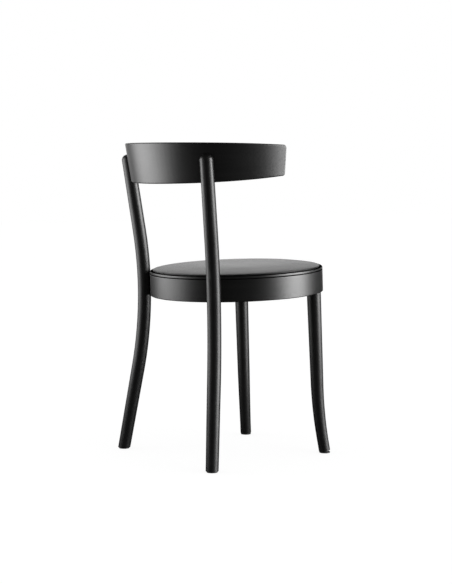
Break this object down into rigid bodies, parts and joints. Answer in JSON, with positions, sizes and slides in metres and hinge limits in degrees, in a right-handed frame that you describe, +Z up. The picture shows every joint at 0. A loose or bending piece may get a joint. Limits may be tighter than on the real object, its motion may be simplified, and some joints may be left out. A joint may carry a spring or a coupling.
{
  "type": "bentwood bistro chair",
  "caption": "Bentwood bistro chair: round padded leather seat on a bent ring, flared front legs, bowed rear legs carrying a curved wrap-round plywood backrest, lacquered black.",
  "frame": {"origin": "on the floor, under the middle of the chair's outer box", "axes": "+Z up, -Y the way a sitter faces, +X to the sitter's left"},
  "size_m": [0.4856, 0.487, 0.7534],
  "materials": {
    "black_wood": "satin black lacquer over bent solid wood",
    "black_plywood": "satin black lacquer over moulded plywood",
    "black_leather": "smooth black upholstery leather, semi-matt",
    "pad_foam": "cut upholstery foam, hidden",
    "screw_steel": "zinc-plated steel",
    "glide_plastic": "moulded black plastic"
  },
  "bodies": {
    "root": {"seat_ring": "black_wood", "seat_plate": "black_plywood", "seat_foam": "pad_foam", "seat_cover": "black_leather", "rear_leg_left": "black_wood", "rear_leg_right": "black_wood", "front_leg_left": "black_wood", "front_leg_right": "black_wood", "backrest": "black_plywood", "backrest_screws": "screw_steel", "backrest_plugs": "black_wood", "rear_leg_screws": "screw_steel", "front_leg_screws": "screw_steel", "seat_screws": "screw_steel", "foot_glides": "glide_plastic", "glide_nails": "screw_steel"}
  },
  "joints": []
}
